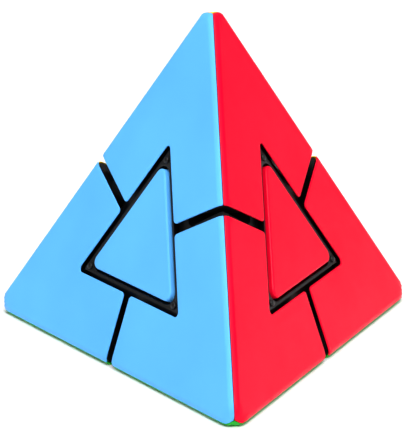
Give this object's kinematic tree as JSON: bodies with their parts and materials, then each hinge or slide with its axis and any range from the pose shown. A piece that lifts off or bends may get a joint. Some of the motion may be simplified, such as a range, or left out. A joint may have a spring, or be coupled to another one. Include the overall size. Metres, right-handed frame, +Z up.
{
  "type": "pyramid twisty puzzle",
  "caption": "Tetrahedral twisty puzzle with turning corners, triangular face centres and a different colour on each face.",
  "frame": {"origin": "middle of the green face that the puzzle stands on", "axes": "+Z up towards the top vertex, -Y towards the front vertex between the blue and the red face, +X to the right"},
  "size_m": [0.0924, 0.0813, 0.0765],
  "materials": {
    "blue_plastic": "satin moulded plastic, sky blue",
    "red_plastic": "satin moulded plastic, crimson red",
    "yellow_plastic": "satin moulded plastic, yellow",
    "green_plastic": "satin moulded plastic, green",
    "black_plastic": "smooth black plastic with a slight shine",
    "steel": "plain zinc-plated steel"
  },
  "bodies": {
    "core": {"core": "black_plastic", "screw_top": "steel", "washer_top": "steel", "screw_front": "steel", "washer_front": "steel", "screw_left": "steel", "washer_left": "steel", "screw_right": "steel", "washer_right": "steel"},
    "corner_top": {"corner_top_base": "black_plastic", "corner_top_shell_yellow": "yellow_plastic", "corner_top_shell_red": "red_plastic", "corner_top_shell_blue": "blue_plastic", "spring_top": "steel"},
    "corner_front": {"corner_front_base": "black_plastic", "corner_front_shell_green": "green_plastic", "corner_front_shell_red": "red_plastic", "corner_front_shell_blue": "blue_plastic", "spring_front": "steel"},
    "corner_left": {"corner_left_base": "black_plastic", "corner_left_shell_green": "green_plastic", "corner_left_shell_yellow": "yellow_plastic", "corner_left_shell_blue": "blue_plastic", "spring_left": "steel"},
    "corner_right": {"corner_right_base": "black_plastic", "corner_right_shell_green": "green_plastic", "corner_right_shell_yellow": "yellow_plastic", "corner_right_shell_red": "red_plastic", "spring_right": "steel"},
    "edge_top_left": {"edge_top_left": "black_plastic"},
    "edge_top_front": {"edge_top_front": "black_plastic"},
    "edge_top_right": {"edge_top_right": "black_plastic"},
    "edge_left_front": {"edge_left_front": "black_plastic"},
    "edge_left_right": {"edge_left_right": "black_plastic"},
    "edge_front_right": {"edge_front_right": "black_plastic"},
    "face_green": {"face_green_base": "black_plastic", "face_green_cap": "green_plastic"},
    "face_yellow": {"face_yellow_base": "black_plastic", "face_yellow_cap": "yellow_plastic"},
    "face_red": {"face_red_base": "black_plastic", "face_red_cap": "red_plastic"},
    "face_blue": {"face_blue_base": "black_plastic", "face_blue_cap": "blue_plastic"}
  },
  "joints": [
    {"name": "turn_top", "type": "hinge", "parent": "core", "child": "corner_top", "pos_m": [0, 0, 0.02041], "axis": [0, 0, 1], "continuous": true},
    {"name": "turn_front", "type": "hinge", "parent": "core", "child": "corner_front", "pos_m": [0, 0, 0.02041], "axis": [0, -0.9428, -0.3333], "range_deg": [-360, 360]},
    {"name": "turn_left", "type": "hinge", "parent": "core", "child": "corner_left", "pos_m": [0, 0, 0.02041], "axis": [-0.8165, 0.4714, -0.3333], "range_deg": [-360, 360]},
    {"name": "turn_right", "type": "hinge", "parent": "core", "child": "corner_right", "pos_m": [0, 0, 0.02041], "axis": [0.8165, 0.4714, -0.3333], "range_deg": [-360, 360]},
    {"name": "edge_top_left_with_left", "type": "hinge", "parent": "corner_top", "child": "edge_top_left", "pos_m": [0, 0, 0.02041], "axis": [-0.8165, 0.4714, -0.3333], "range_deg": [-360, 360]},
    {"name": "edge_top_front_with_front", "type": "hinge", "parent": "corner_top", "child": "edge_top_front", "pos_m": [0, 0, 0.02041], "axis": [0, -0.9428, -0.3333], "range_deg": [-360, 360]},
    {"name": "edge_top_right_with_right", "type": "hinge", "parent": "corner_top", "child": "edge_top_right", "pos_m": [0, 0, 0.02041], "axis": [0.8165, 0.4714, -0.3333], "range_deg": [-360, 360]},
    {"name": "edge_left_front_with_front", "type": "hinge", "parent": "corner_left", "child": "edge_left_front", "pos_m": [0, 0, 0.02041], "axis": [0, -0.9428, -0.3333], "range_deg": [-360, 360]},
    {"name": "edge_left_right_with_right", "type": "hinge", "parent": "corner_left", "child": "edge_left_right", "pos_m": [0, 0, 0.02041], "axis": [0.8165, 0.4714, -0.3333], "range_deg": [-360, 360]},
    {"name": "edge_front_right_with_right", "type": "hinge", "parent": "corner_front", "child": "edge_front_right", "pos_m": [0, 0, 0.02041], "axis": [0.8165, 0.4714, -0.3333], "range_deg": [-360, 360]},
    {"name": "face_blue_with_front", "type": "hinge", "parent": "edge_top_left", "child": "face_blue", "pos_m": [0, 0, 0.02041], "axis": [0, -0.9428, -0.3333], "range_deg": [-360, 360]},
    {"name": "face_yellow_with_right", "type": "hinge", "parent": "edge_top_left", "child": "face_yellow", "pos_m": [0, 0, 0.02041], "axis": [0.8165, 0.4714, -0.3333], "range_deg": [-360, 360]},
    {"name": "face_red_with_right", "type": "hinge", "parent": "edge_top_front", "child": "face_red", "pos_m": [0, 0, 0.02041], "axis": [0.8165, 0.4714, -0.3333], "range_deg": [-360, 360]},
    {"name": "face_green_with_right", "type": "hinge", "parent": "edge_left_front", "child": "face_green", "pos_m": [0, 0, 0.02041], "axis": [0.8165, 0.4714, -0.3333], "range_deg": [-360, 360]}
  ],
  "couplings": [
    {"joint": "edge_top_left_with_left", "follows": "turn_left", "ratio": 1},
    {"joint": "edge_top_front_with_front", "follows": "turn_front", "ratio": 1},
    {"joint": "edge_top_right_with_right", "follows": "turn_right", "ratio": 1},
    {"joint": "edge_left_front_with_front", "follows": "turn_front", "ratio": 1},
    {"joint": "edge_left_right_with_right", "follows": "turn_right", "ratio": 1},
    {"joint": "edge_front_right_with_right", "follows": "turn_right", "ratio": 1},
    {"joint": "face_blue_with_front", "follows": "turn_front", "ratio": 1},
    {"joint": "face_yellow_with_right", "follows": "turn_right", "ratio": 1},
    {"joint": "face_red_with_right", "follows": "turn_right", "ratio": 1},
    {"joint": "face_green_with_right", "follows": "turn_right", "ratio": 1}
  ]
}
